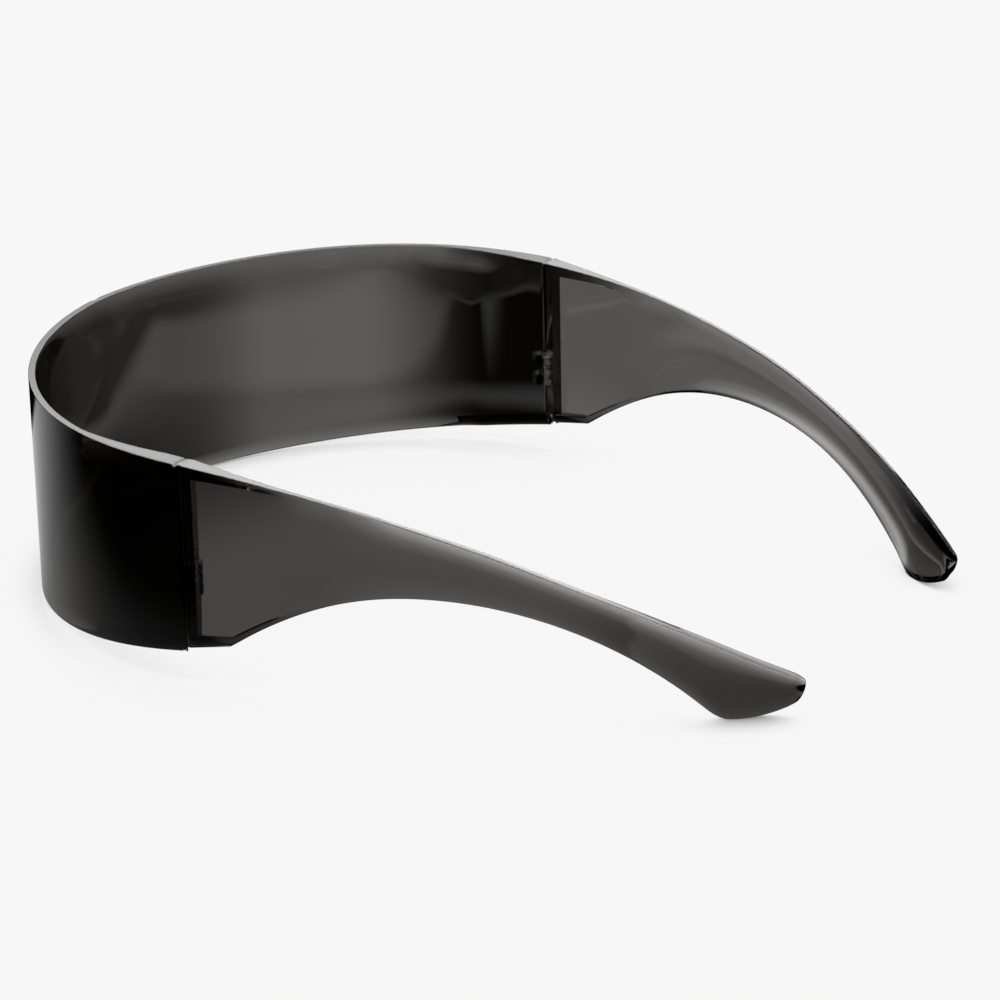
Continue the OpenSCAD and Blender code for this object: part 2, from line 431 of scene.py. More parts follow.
@dataclass
class Hinge:
    """Sizes in mm and cutters of one screw hinge."""

    shared: Proportions
    side: Side
    height: float = 20.2
    barrel: float = 3.4
    outer_knuckle: float = 2.1
    middle_knuckle: float = 2.3
    knuckle_edge: float = 0.2
    gap: float = 0.1
    inset: float = 0.4
    back: float = 0.3
    relief: float = 0.2
    root: float = 2.5
    shank: float = 1.4
    clearance: float = 0.05
    bite: float = 0.04
    head: float = 2.3
    head_height: float = 0.6
    overrun: float = 1.0

    @property
    def radius(self) -> float:
        """Radius of the knuckles."""
        return self.barrel / 2

    @property
    def bottom(self) -> float:
        """Height of the lowest knuckle's lower end."""
        return self.height - self.outer_knuckle - self.gap - self.middle_knuckle / 2

    @property
    def middle(self) -> Flat:
        """Lower and upper end of the temple's knuckle."""
        return (self.height - self.middle_knuckle / 2, self.height + self.middle_knuckle / 2)

    @property
    def top(self) -> float:
        """Height of the highest knuckle's upper end."""
        return self.height + self.outer_knuckle + self.gap + self.middle_knuckle / 2

    @property
    def axis(self) -> Flat:
        """Place of the axis in X and Y."""
        x = self.shared.half - self.shared.end_wall - self.inset
        return (x * self.side.value, self.shared.seam_y + self.back)

    def bar(self, radius: float, low: float, high: float, edge: float = 0.0) -> bpy.types.Object:
        """A round bar on the hinge's axis."""
        return rod(radius, low, high, self.axis, edge)

    def shield_knuckle(self, low: float, high: float) -> bpy.types.Object:
        """One knuckle of the shield with the root that ties it to the wall.

        Args:
            low: Height of its lower end.
            high: Height of its upper end.

        Returns:
            The knuckle as one closed shape.
        """
        x, y = self.axis
        inward = -self.side.value
        front = self.shared.seam_y - self.shared.seam_set
        wall = x + self.inset * 2 * self.side.value
        outline = [
            (x + inward * self.radius, y),
            (x + inward * self.radius, front),
            (wall, front - self.root),
            (x - inward * self.radius, front - self.root),
            (x - inward * self.radius, y),
        ]
        piece = self.bar(self.radius, low, high, self.knuckle_edge)
        combine(piece, standing_prism(outline, low, high), Cut.ADD)
        return piece

    def finish_shield(self, shield: bpy.types.Object) -> None:
        """Cuts the relief, adds both knuckles and drills the bores in the shield.

        Args:
            shield: The shield's wall.
        """
        low, high = self.middle
        wide = self.radius + self.relief
        combine(shield, self.bar(wide, low - self.gap, high + self.gap), Cut.TAKE)
        combine(shield, self.shield_knuckle(self.bottom, low - self.gap), Cut.ADD)
        combine(shield, self.shield_knuckle(high + self.gap, self.top), Cut.ADD)
        seat = self.top - self.head_height - self.clearance
        for radius, start, end in (
            (self.shank / 2 + self.clearance, low - self.gap / 2, self.top + self.overrun),
            (self.shank / 2 - self.bite, self.bottom - self.overrun, low),
            (self.head / 2 + self.clearance, seat, self.top + self.overrun),
        ):
            combine(shield, self.bar(radius, start, end), Cut.TAKE)

    def knuckle_room(self, low: float, high: float) -> bpy.types.Object:
        """Room in a temple's wall for one shield knuckle and its root.

        Args:
            low: Height of its lower end.
            high: Height of its upper end.

        Returns:
            The room as one closed shape.
        """
        x, y = self.axis
        room = self.bar(self.radius + self.relief, low, high)
        outer = x + (self.radius + self.relief) * self.side.value
        inner = x - (self.overrun - self.inset) * self.side.value
        front = self.shared.seam_y - self.shared.seam_set - self.overrun
        middle = ((inner + outer) / 2, (front + y) / 2, (low + high) / 2)
        combine(room, block(middle, (abs(outer - inner), y - front, high - low)), Cut.ADD)
        return room

    def finish_temple(self, temple: bpy.types.Object) -> None:
        """Cuts both rooms, adds the middle knuckle and drills its bore in a temple.

        Args:
            temple: The temple's body.
        """
        low, high = self.middle
        combine(temple, self.knuckle_room(self.bottom - self.gap, low), Cut.TAKE)
        combine(temple, self.knuckle_room(high, self.top + self.gap), Cut.TAKE)
        combine(temple, self.bar(self.radius, low, high, self.knuckle_edge), Cut.ADD)
        bore = self.shank / 2 + self.clearance
        combine(temple, self.bar(bore, low - self.overrun, high + self.overrun), Cut.TAKE)

    def dress_screw(self, screw: bpy.types.Object) -> None:
        """Gives the CAD's own screw its finish.

        Args:
            screw: The screw's node.
        """
        screw.data.materials.clear()
        screw.data.materials.append(ScrewSteel().make(self.side, self.axis))
        log.info("%s: steel", screw.name)


@dataclass
class Shield:
    """The one-piece wrap-round shield, lens and front in one wall, with its sizes in mm."""

    shared: Proportions
    rest_run: float = 4.0
    brow_wall: float = 1.45
    lens_wall: float = 1.7
    centre_wall: float = 2.4
    centre_run: Flat = (56.0, 67.0)
    thicken_run: float = 26.0
    land_run: float = 5.0
    body_run: float = 42.0
    body_land: float = 17.0
    body_power: float = 1.9
    blend_run: float = 6.0
    hem_wall: float = 1.2
    hem_run: float = 3.8
    hem_slope: float = 0.55
    gate_width: float = 2.2
    gate_depth: float = 0.3
    lip_width: float = 0.95
    lip_short: float = 0.2
    side_power: float = 1.138
    brow_power: float = 0.913
    sweep_power: float = 1.57
    sweep_start: float = 0.6
    sweep_step: float = 0.01
    stations: int = 150
    hem_rows: int = 4
    middle_rows: int = 3
    brow_rows: int = 4
    ring: List[RingPoint] = field(init=False)
    steps: List[EndStep] = field(init=False)
    sweep: List[float] = field(init=False)

    def __post_init__(self) -> None:
        """Lays out the section's ring, the steps of the seam's end and the sweep once."""
        shared = self.shared
        self.ring = shared.section_ring(self.hem_rows + self.middle_rows + self.brow_rows + 1)
        self.steps = self.lipped_end()
        first = shared.seam_set - shared.seam_shift + shared.seam_corner + self.sweep_start
        limit = self.turn_at(first)
        self.sweep = [-limit + 2 * limit * i / (self.stations - 1) for i in range(self.stations)]

    def outer(self, turn: float) -> Flat:
        """Plan point of the outer face.

        Args:
            turn: Sweep angle in radians, 0 at the centre.

        Returns:
            The point, with the seam line at 0.
        """
        s, c = math.sin(abs(turn)), max(0.0, math.cos(turn))
        x = self.shared.half * s ** self.side_power
        return (math.copysign(x, turn), -self.shared.shield_depth * c ** self.brow_power)

    def turn_at(self, distance: float) -> float:
        """Sweep angle at which the outer face lies a distance in front of the seam."""
        return math.acos(clamp(distance / self.shared.shield_depth) ** (1 / self.brow_power))

    def inward(self, turn: float) -> Flat:
        """Plan direction into the wall.

        Args:
            turn: Sweep angle in radians.

        Returns:
            The direction, of length 1.
        """
        limit = math.pi / 2
        a = self.outer(max(-limit, turn - self.sweep_step))
        b = self.outer(min(limit, turn + self.sweep_step))
        dx, dy = b[0] - a[0], b[1] - a[1]
        length = math.hypot(dx, dy)
        return (-dy / length, dx / length)

    def wall(self, distance: float, below: float, above: float) -> float:
        """Wall thickness at one place.

        Args:
            distance: Distance in front of the seam.
            below: Distance below the top edge.
            above: Distance above the lower edge.

        Returns:
            The thickness, which grows towards the centre and the seam and thins into both edges.
        """
        end = self.shared.end_wall
        brow_part = clamp((self.thicken_run - distance) / (self.thicken_run - self.land_run))
        body_part = clamp((self.body_run - distance) / (self.body_run - self.body_land)) ** self.body_power
        low, high = self.centre_run
        centre = between(self.lens_wall, self.centre_wall, ease((distance - low) / (high - low)))
        brow = between(self.brow_wall, end, brow_part)
        body = between(centre, end, body_part)
        full = between(brow, body, ease(below / self.blend_run))
        return full * self.hem_share(full, above)

    def hem_share(self, full: float, above: float) -> float:
        """Share of the wall that is left a distance above the lower edge."""
        thin = max(self.hem_wall, full - self.hem_slope * self.hem_run)
        return between(min(1.0, thin / full), 1.0, clamp(above / self.hem_run))

    def heights(self, distance: float) -> Flat:
        """Lower and upper edge at one place.

        Args:
            distance: Distance in front of the seam.

        Returns:
            Both heights.
        """
        s = clamp(distance / self.shared.shield_depth)
        rest = self.rest_run / self.shared.shield_depth
        low = self.shared.bottom_rise * max(0.0, 1 - s - rest) ** self.sweep_power
        high = self.shared.shield_height - self.shared.top_drop * (1 - s) ** 2
        return (low, high)

    def levels(self, low: float, high: float) -> List[float]:
        """Heights of the rows of both faces.

        Args:
            low: Height of the lower edge.
            high: Height of the top edge.

        Returns:
            The heights, from the lower edge up.
        """
        base = low + self.shared.hem_round
        hem = low + self.hem_run
        brow = high - self.blend_run
        crown = high - self.shared.top_round
        rows = [between(base, hem, (i + 1) / self.hem_rows) for i in range(self.hem_rows)]
        rows += [between(hem, brow, (i + 1) / (self.middle_rows + 1)) for i in range(self.middle_rows)]
        rows += [between(brow, crown, i / self.brow_rows) for i in range(self.brow_rows)]
        return rows + [crown - self.shared.top_round]

    def lipped_end(self) -> List[EndStep]:
        """Steps of the seam's end, with the stepped lip that laps the temple's chamfer.

        Returns:
            The steps, from the faces to the middle of the seam's face.
        """
        seam = self.shared.seam_set - self.shared.seam_shift
        short = self.lip_short - self.shared.seam_shift
        lip, land = self.lip_width, self.shared.seam_land
        outer = [(0.0, short), (lip / 2, (short + seam) / 2)]
        outer += [(lip, seam), (lip + land, seam), (lip + 2 * land, seam)]
        return self.shared.seam_end(outer, seam)

    def spot(self, point: int, station: int) -> Point:
        """Place of one ring point at one station.

        Args:
            point: Number of the point in the ring.
            station: Number of the station, from the right seam to the left one.

        Returns:
            The place in mm.
        """
        shared = self.shared
        row, share, inset, drop = self.ring[point]
        k = station - len(self.steps)
        on_sweep = 0 <= k < len(self.sweep)
        if on_sweep:
            distance = -self.outer(self.sweep[k])[1]
        else:
            step = self.steps[-k - 1] if k < 0 else self.steps[k - len(self.sweep)]
            distance = between(step[1], step[3], share)
        low, high = self.heights(distance)
        radius = shared.hem_round if row == HEM else shared.top_round
        if row == TOP:
            z = high - drop * radius
        elif row == HEM:
            z = low + drop * radius
        else:
            z = self.levels(low, high)[row]
        full = self.wall(distance, high - z, z - low)
        if on_sweep:
            depth = share * full + inset * radius
            x, y = self.outer(self.sweep[k])
            nx, ny = self.inward(self.sweep[k])
            return (x + nx * depth, y + ny * depth + shared.seam_y, z)
        scale = full / shared.end_wall
        wide = abs(step[2] - step[0]) * scale
        depth = between(step[0], step[2], share) * scale + inset * radius * shared.pinch(wide, radius)
        if wide > TINY:
            distance = between(step[1], step[3], (depth / scale - step[0]) * scale / wide)
        x = self.outer(self.turn_at(distance))[0] - depth
        return (-x if k < 0 else x, shared.seam_y - distance, z)

    def build(self, finish: bpy.types.Material) -> None:
        """Builds the shield's wall, hinge knuckles, notches and trimmed gate mark, and dresses it.

        Args:
            finish: Its material.
        """
        shared = self.shared
        piece = drawn_bar("shield_wall", len(self.ring), len(self.sweep) + 2 * len(self.steps), self.spot)
        for side in Side:
            Hinge(shared, side).finish_shield(piece)
        for height in (shared.end_height, self.heights(0)[0]):
            combine(piece, shared.notch(height), Cut.TAKE)
        gate = (0, shared.seam_y - shared.shield_depth, shared.shield_height)
        gate_size = (self.gate_width, 2 * self.gate_depth, 2 * self.gate_depth)
        combine(piece, block(gate, gate_size, ON_CORNER), Cut.TAKE)
        dress(piece, finish, "front", "shield")


@dataclass
class Temple:
    """One arched temple with its pocket and its drop-shaped tail, with sizes in mm.

    The places of the tail, the sag, the bow and the arch, and the runs of the first three, are shares of the
    temple's reach. A knot is a share of the heel's run, forward of the heel or the tip, and a share of the
    tip's height. A bend is both handles of a curve, as parts of the way between its ends.
    """

    shared: Proportions
    side: Side
    toe_in: float = 37.9
    toe_shares: Point = (0.406, 0.0, 0.594)
    drop_shares: Point = (0.34, 0.275, 0.385)
    wall: float = 1.5
    tail_wall: float = 2.15
    tail_from: float = 0.62
    tail_run: float = 0.28
    crown_wall: float = 1.15
    crown_run: float = 4.0
    ramp_power: float = 2.2
    hem_wall: float = 2.0
    hem_run: float = 3.2
    fine_round: float = 0.28
    round_share: float = 0.3
    sag: float = 0.45
    sag_from: Flat = (0.5, 0.9)
    sag_run: Flat = (0.2, 0.1)
    lean: float = 2.8
    top_slope: float = 0.36
    tail_slope: float = 0.68
    bow_from: float = 0.16
    bow_run: float = 0.24
    border_run: float = 9.5
    border_climb: float = 1.6
    arch_height: float = 22.6
    arch_from: float = 0.442
    tip_height: float = 7.5
    heel_run: float = 12.0
    heel_flat: float = 1.0
    heel_knot: Flat = (0.42, 0.39)
    tail_knot: Flat = (0.24, 0.35)
    nose_rise: float = 0.93
    crown_back: float = 0.12
    rise_bend: Tuple[Flat, Flat] = ((0.365, 0.72), (0.66, 1.0))
    fall_bend: Tuple[Flat, Flat] = ((0.36, 0.0), (0.72, 0.31))
    heel_bend: Tuple[Flat, Flat] = ((0.4, 0.67), (0.68, 1.0))
    sole_bend: Tuple[Flat, Flat] = ((0.36, 0.0), (0.7, 0.46))
    tail_bend: Tuple[Flat, Flat] = ((0.4, 0.25), (0.85, 0.65))
    nose_bend: Tuple[Flat, Flat] = ((0.0, 0.5), (0.3, 0.8))
    bend_steps: int = 24
    nose_round: float = 1.6
    nose_spare: float = 1e-4
    chamfer: float = 1.5
    chamfer_steps: int = 3
    pocket_floor: float = 1.5
    pocket_front: float = 2.3
    pocket_end: float = 30.0
    pocket_fade: float = 8.0
    rim_top: float = 2.3
    rim_bottom: float = 1.9
    rim_end: float = 0.2
    step_run: float = 0.45
    step_support: float = 0.2
    rim_support: float = 0.12
    floor_rows: int = 7
    rim_rows: int = 3
    front_shares: Tuple[float, ...] = (0.3, 0.6, 0.85, 1.0)
    front_gap: float = 0.25
    front_places: Tuple[float, ...] = (4.5, 6.0, 8.0)
    border_gap: float = 0.3
    behind_places: Tuple[float, ...] = (11.0, 12.5)
    pocket_from: float = 14.0
    pocket_step: float = 2.0
    pocket_steps: int = 8
    end_gap: float = 0.2
    arm_step: float = 1.5
    arm_steps: int = 44
    tail_end: float = 4.0
    tail_steps: int = 14
    low_edge: List[Flat] = field(init=False)
    nose_edge: List[Flat] = field(init=False)
    ring: List[RingPoint] = field(init=False)
    steps: List[EndStep] = field(init=False)
    places: List[float] = field(init=False)

    def __post_init__(self) -> None:
        """Draws the lower edge and the nose, and lays out the section and the stations once."""
        reach, count = self.shared.temple_reach, self.bend_steps
        corner = (self.border_run, self.shared.bottom_rise + self.border_climb)
        arch = (reach * self.arch_from, self.arch_height)
        heel = reach - self.heel_run
        heel_start = (heel - self.heel_run * self.heel_knot[0], self.tip_height * self.heel_knot[1])
        heel_low = (heel - self.heel_flat / 2, 0.0)
        sole = (heel + self.heel_flat / 2, 0.0)
        tail = (reach - self.heel_run * self.tail_knot[0], self.tip_height * self.tail_knot[1])
        nose = (reach, self.tip_height * self.nose_rise)
        crown_y = reach - self.heel_run * self.crown_back
        crown = (crown_y, self.top_line(crown_y))
        self.low_edge = [(-1.0, self.shared.bottom_rise - self.border_climb / self.border_run)]
        self.low_edge += bezier(corner, arch, self.rise_bend, count)
        self.low_edge += bezier(arch, heel_start, self.fall_bend, count)
        self.low_edge += bezier(heel_start, heel_low, self.heel_bend, count) + [heel_low]
        self.low_edge += bezier(sole, tail, self.sole_bend, count)
        self.low_edge += bezier(tail, nose, self.tail_bend, count) + [nose]
        self.nose_edge = list(reversed(bezier(nose, crown, self.nose_bend, count) + [crown]))
        self.ring = self.shared.section_ring(self.rows)
        self.steps = self.chamfered_end()
        self.places = self.stations()

    @property
    def rows(self) -> int:
        """Number of rows on each face: those of the pocket's floor, and those at either rim."""
        return self.floor_rows + 2 * self.rim_rows

    def rising(self, shares: Point, v: float) -> float:
        """Sum of three shares times the rising powers of v."""
        return v * (shares[0] + v * (shares[1] + v * shares[2]))

    def top_line(self, y: float) -> float:
        """Height of the top edge, without the nose's round.

        Args:
            y: Distance behind the seam.

        Returns:
            The height.
        """
        v = y / self.shared.temple_reach
        fall = self.rising(self.drop_shares, v)
        start, end = (ease((v - place) / run) for place, run in zip(self.sag_from, self.sag_run))
        sag = self.sag * start * (1 - end)
        return self.shared.end_height - (self.shared.end_height - self.tip_height) * fall - sag

    def heights(self, y: float) -> Flat:
        """Lower and upper edge at one place.

        Args:
            y: Distance behind the seam.

        Returns:
            Both heights.
        """
        low = height_on(self.low_edge, y)
        high = self.top_line(y)
        if y > self.nose_edge[0][0]:
            high = height_on(self.nose_edge, y)
        return (low, max(low, high))

    def outer_x(self, y: float) -> float:
        """Distance of the outer face from the middle plane."""
        v = max(0.0, y) / self.shared.temple_reach
        return self.shared.half - self.toe_in * self.rising(self.toe_shares, v)

    def inward(self, y: float) -> Flat:
        """Plan direction into the wall.

        Args:
            y: Distance behind the seam.

        Returns:
            The direction, of length 1.
        """
        dx = self.outer_x(y + 1) - self.outer_x(y - 1)
        length = math.hypot(dx, 2)
        return (-2 / length, dx / length)

    def thickness(self, y: float, below: float) -> float:
        """Wall thickness at one place.

        Args:
            y: Distance behind the seam.
            below: Distance below the top edge.

        Returns:
            The thickness: thick beside the seam, thin from the pocket's end on, thicker in the tail, and
            thinner towards the top edge.
        """
        grown = clamp((self.pocket_end - y) / (self.pocket_end - self.pocket_front)) ** self.ramp_power
        tail = ease((y / self.shared.temple_reach - self.tail_from) / self.tail_run)
        body = between(self.wall, self.tail_wall, tail)
        crown = between(self.crown_wall, body, ease(below / self.crown_run))
        return between(crown, self.shared.end_wall, grown)

    def hem_share(self, full: float, above: float) -> float:
        """Share of the wall that is left a distance above the lower edge."""
        return between(min(1.0, self.hem_wall / full), 1.0, clamp(above / self.hem_run))

    def bow(self, y: float, z: float) -> float:
        """How far the wall stands out from the plumb line under its top edge.

        The section bows outwards like a shallow C, and its lower edge leans in towards the head.

        Args:
            y: Distance behind the seam.
            z: Height.

        Returns:
            The offset in X.
        """
        reach = self.shared.temple_reach
        v = clamp(y / reach)
        top = self.top_line(v * reach)
        span = top - height_on(self.low_edge, v * reach)
        past_heel = clamp((y - reach + self.heel_run) / self.heel_run)
        lean = self.lean * v * v * (1 - past_heel * past_heel)
        slope = between(self.top_slope, self.tail_slope, v) * ease((v - self.bow_from) / self.bow_run)
        q = clamp((top - z) / span)
        return -lean * q + (span * slope + lean) * q * (1 - q)

    def levels(self, y: float) -> List[float]:
        """Heights of the rows of both faces at one place.

        Args:
            y: Distance behind the seam.

        Returns:
            The heights between the rounded edges, with the pocket's edges among them as far as it reaches.
        """
        low, high = self.heights(y)
        radius = self.radius_at(y)
        run = clamp((y - self.pocket_front) / (self.pocket_end - self.pocket_front))
        under = low + between(self.rim_bottom, self.rim_end, run)
        over = high - between(self.rim_top, self.rim_end, run)
        crown = min(self.shared.top_round, radius)
        base, top = low + radius, high - crown
        first = under + self.step_run + self.step_support
        last = over - self.step_run - self.step_support
        pocket = [between(under, base, self.rim_support), under, under + self.step_run]
        pocket += [between(first, last, i / (self.floor_rows - 1)) for i in range(self.floor_rows)]
        pocket += [over - self.step_run, over, between(over, top, self.rim_support)]
        free = [between(base, top, (i + 1) / self.rows) for i in range(self.rows - 1)]
        free += [top - crown]
        blend = ease((y - self.pocket_end) / self.pocket_fade)
        return [between(a, b, blend) for a, b in zip(pocket, free)]

    def radius_at(self, y: float) -> float:
        """Radius of the rounded lower edge, which shrinks behind the border and into the nose.

        Args:
            y: Distance behind the seam.

        Returns:
            The radius.
        """
        low, high = self.heights(y)
        behind = ease((y - self.border_run) / self.border_run)
        radius = between(self.shared.hem_round, self.fine_round, behind)
        return min(radius, self.round_share * (high - low))

    def stations(self) -> List[float]:
        """Distances of the stations behind the seam.

        Returns:
            The distances: close together at the pocket's front, even along the arm, and crowding into the
            nose, where the section closes.
        """
        end = self.shared.temple_reach - self.tail_end
        spots = [between(self.shared.seam_shift, self.pocket_front, share) for share in self.front_shares]
        spots += [self.pocket_front + self.front_gap, *self.front_places]
        spots += [self.border_run + self.border_gap * i for i in (-1, 0, 1)]
        spots += self.behind_places
        spots += [self.pocket_from + self.pocket_step * i for i in range(self.pocket_steps)]
        spots += [self.pocket_end - self.end_gap, self.pocket_end]
        spots += [self.pocket_end + self.arm_step * (i + 1) for i in range(self.arm_steps)]
        last = spots[-1]
        shares = [(i + 1) / self.tail_steps for i in range(self.tail_steps)]
        spots += [between(last, end, share) for share in shares]
        return spots + [end + self.tail_end * math.sin(math.pi / 2 * share) for share in shares]

    def chamfered_end(self) -> List[EndStep]:
        """Steps of the front end, with the chamfer under the shield's lip.

        Returns:
            The steps, from the middle of the end's face out to the faces.
        """
        shift = self.shared.seam_shift
        butt = self.shared.seam_gap - self.shared.seam_set + shift
        shares = [i / self.chamfer_steps for i in range(self.chamfer_steps + 1)]
        outer = [(self.chamfer * share, between(shift, butt, share)) for share in shares]
        outer.append((self.chamfer + self.shared.seam_land, butt))
        return list(reversed(self.shared.seam_end(outer, butt)))

    def in_pocket(self, row: int, y: float) -> bool:
        """Whether an inner point lies on the pocket's floor or at the foot of its edge."""
        return 2 <= row < self.rows - 2 and self.pocket_front < y < self.pocket_end

    def spot(self, point: int, station: int) -> Point:
        """Place of one ring point at one station.

        Args:
            point: Number of the point in the ring.
            station: Number of the station, from the front end on.

        Returns:
            The place in mm, on the left side.
        """
        row, share, inset, drop = self.ring[point]
        at_end = station < len(self.steps)
        if at_end:
            step = self.steps[station]
            y = max(0.0, step[1])
            wide = abs(step[2] - step[0])
            nx, ny = (-1.0, 0.0)
        else:
            y = self.places[station - len(self.steps)]
            wide = self.thickness(y, self.crown_run)
            nx, ny = self.inward(y)
        reach = self.shared.temple_reach
        past = clamp((y - (reach - self.nose_round)) / self.nose_round)
        round_off = math.sqrt(max(0.0, 1 - past * past))
        furthest = reach - self.nose_spare
        held = clamp((y + ny * share * wide * round_off) / furthest) * furthest
        low, high = self.heights(held)
        radius = self.radius_at(held)
        if row != HEM:
            radius = min(radius, self.shared.top_round)
        if row == TOP:
            z = high - drop * radius
        elif row == HEM:
            z = low + drop * radius
        else:
            z = self.levels(held)[row]
        if not at_end:
            wide = self.thickness(y, high - z)
            step = (0.0, y, wide, y)
        scale = self.hem_share(max(wide, self.wall), z - low)
        first, last = step[0] * scale, step[2] * scale
        if share == 1.0 and not at_end and self.in_pocket(row, y):
            last = min(self.pocket_floor, last)
        if not at_end:
            centre = (first + last) / 2
            first = centre + (first - centre) * round_off
            last = centre + (last - centre) * round_off
        pinch = self.shared.pinch(wide * scale, radius) * round_off if radius > 0 else 0.0
        depth = between(first, last, share) + inset * radius * pinch
        if at_end:
            y = step[1]
            if wide > TINY:
                y = between(step[1], step[3], (depth / scale - step[0]) / wide)
        x = self.outer_x(y) + nx * depth + self.bow(y, z)
        return (x, y + ny * depth + self.shared.seam_y, z)

    def build(self, finish: bpy.types.Material) -> None:
        """Builds the temple's body, hinge knuckle and seam notches, and dresses it.

        Args:
            finish: Its material.
        """
        word = self.side.word
        count = len(self.places) + len(self.steps)
        piece = drawn_bar(f"temple_{word}_arm", len(self.ring), count, self.spot)
        if self.side is Side.RIGHT:
            self.mirror(piece)
        Hinge(self.shared, self.side).finish_temple(piece)
        for height in (self.shared.end_height, self.shared.bottom_rise):
            combine(piece, self.shared.notch(height), Cut.TAKE)
        dress(piece, finish, f"{word}_temple", f"temple_{word}")

    def mirror(self, piece: bpy.types.Object) -> None:
        """Turns a temple over to the other side, with its faces outwards again.

        Args:
            piece: The temple's body.
        """
        take_up(piece)
        with editing():
            bpy.ops.transform.resize(value=(-1, 1, 1), center_override=(0, 0, 0))
            bpy.ops.mesh.normals_make_consistent(inside=False)


def add_node(
    tree: bpy.types.NodeTree, kind: str, settings: Optional[Inputs] = None, links: Optional[Inputs] = None
) -> bpy.types.Node:
    """Adds one node to a tree with its settings and its links.

    Args:
        tree: The node tree.
        kind: The node's type.
        settings: Values of its properties, by name, or of its inputs, by name or number.
        links: Outputs of other nodes that go to its inputs, by name or number.

    Returns:
        The new node.
    """
    node = tree.nodes.new(kind)
    for key, value in (settings or {}).items():
        if isinstance(key, str) and hasattr(node, key):
            setattr(node, key, value)
        else:
            node.inputs[key].default_value = value
    for key, source in (links or {}).items():
        tree.links.new(source, node.inputs[key])
    return node


def fresh_tree(owner: Union[bpy.types.Material, bpy.types.World]) -> bpy.types.NodeTree:
    """Turns the nodes of a material or a world on and clears them.

    Args:
        owner: The material or the world.

    Returns:
        Its empty node tree.
    """
    owner.use_nodes = True
    owner.node_tree.nodes.clear()
    return owner.node_tree


@dataclass(frozen=True)
class SmokePolycarbonate:
    """Injection-moulded smoke polycarbonate, polished: a deep, clear, almost black gloss that lets light
    through as a warm grey where the wall is 2 mm and none where it is 4 mm.

    The flow is the wide, shallow waviness of the moulding, and the wipe is the fine haze of handling.
    """

    name: str = "smoke_polycarbonate_moulded"
    tint: str = "#726a5e"
    density: float = 1650.0
    ior: float = 1.586
    roughness: float = 0.03
    roughness_span: Flat = (0.6, 1.7)
    flow_mm: float = 9.0
    flow_detail: float = 1.0
    flow_height_mm: float = 0.02
    flow_strength: float = 0.25
    wipe_mm: float = 1.4
    wipe_detail: float = 4.0
    wipe_window: Flat = (0.35, 0.7)

    def make(self) -> bpy.types.Material:
        """Builds the material.

        Returns:
            Clear dielectric with a smoke-coloured absorbing body and slight moulding waviness.
        """
        material = bpy.data.materials.new(self.name)
        tree = fresh_tree(material)
        spot = add_node(tree, "ShaderNodeTexCoord").outputs["Object"]
        flow, wipe = (
            add_node(
                tree, "ShaderNodeTexNoise", {"Scale": 1 / (size * MM), "Detail": detail}, {"Vector": spot}
            ).outputs["Fac"]
            for size, detail in ((self.flow_mm, self.flow_detail), (self.wipe_mm, self.wipe_detail))
        )
        low, high = (self.roughness * part for part in self.roughness_span)
        start, end = self.wipe_window
        gloss = add_node(
            tree,
            "ShaderNodeMapRange",
            {"From Min": start, "From Max": end, "To Min": low, "To Max": high},
            {"Value": wipe},
        )
        bump = add_node(
            tree,
            "ShaderNodeBump",
            {"Strength": self.flow_strength, "Distance": self.flow_height_mm * MM},
            {"Height": flow},
        )
        body = add_node(
            tree,
            "ShaderNodeBsdfPrincipled",
            {"Base Color": (1.0, 1.0, 1.0, 1.0), "IOR": self.ior, "Transmission Weight": 1.0},
            {"Roughness": gloss.outputs["Result"], "Normal": bump.outputs["Normal"]},
        )
        smoke = add_node(
            tree, "ShaderNodeVolumeAbsorption", {"Color": linear(self.tint), "Density": self.density}
        )
        ends = {"Surface": body.outputs["BSDF"], "Volume": smoke.outputs["Volume"]}
        add_node(tree, "ShaderNodeOutputMaterial", links=ends)
        return material


@dataclass(frozen=True)
class ScrewSteel:
    """Fine-turned stainless steel: small bright screws with faint rings from the lathe."""

    name: str = "stainless_steel_turned"
    colour: str = "#b4b6b8"
    roughness: float = 0.28
    roughness_span: Flat = (0.8, 1.3)
    ring_mm: float = 0.12
    ring_waver: float = 0.4
    ring_height_mm: float = 0.01
    ring_strength: float = 0.3
    # Length in metres of one wave of the wave texture at a scale of 1
    wave: float = 0.314

    def make(self, side: Side, centre: Flat) -> bpy.types.Material:
        """Builds the material for one screw.

        Args:
            side: The screw's side.
            centre: The screw's axis in X and Y, in mm.

        Returns:
            A metal with rings round that axis.
        """
        material = bpy.data.materials.new(f"{self.name}_{side.word}")
        tree = fresh_tree(material)
        place = add_node(tree, "ShaderNodeTexCoord")
        centred = add_node(
            tree,
            "ShaderNodeMapping",
            {"Location": (-centre[0] * MM, -centre[1] * MM, 0.0)},
            {"Vector": place.outputs["Object"]},
        )
        scale = self.wave / (self.ring_mm * MM)
        rings = add_node(
            tree,
            "ShaderNodeTexWave",
            {"wave_type": "RINGS", "rings_direction": "Z", "Scale": scale, "Distortion": self.ring_waver},
            {"Vector": centred.outputs["Vector"]},
        ).outputs["Fac"]
        low, high = (self.roughness * part for part in self.roughness_span)
        rough = add_node(tree, "ShaderNodeMapRange", {"To Min": low, "To Max": high}, {"Value": rings})
        bump = add_node(
            tree,
            "ShaderNodeBump",
            {"Strength": self.ring_strength, "Distance": self.ring_height_mm * MM},
            {"Height": rings},
        )
        metal = add_node(
            tree,
            "ShaderNodeBsdfPrincipled",
            {"Base Color": linear(self.colour), "Metallic": 1.0},
            {"Roughness": rough.outputs["Result"], "Normal": bump.outputs["Normal"]},
        )
        add_node(tree, "ShaderNodeOutputMaterial", links={"Surface": metal.outputs["BSDF"]})
        return material


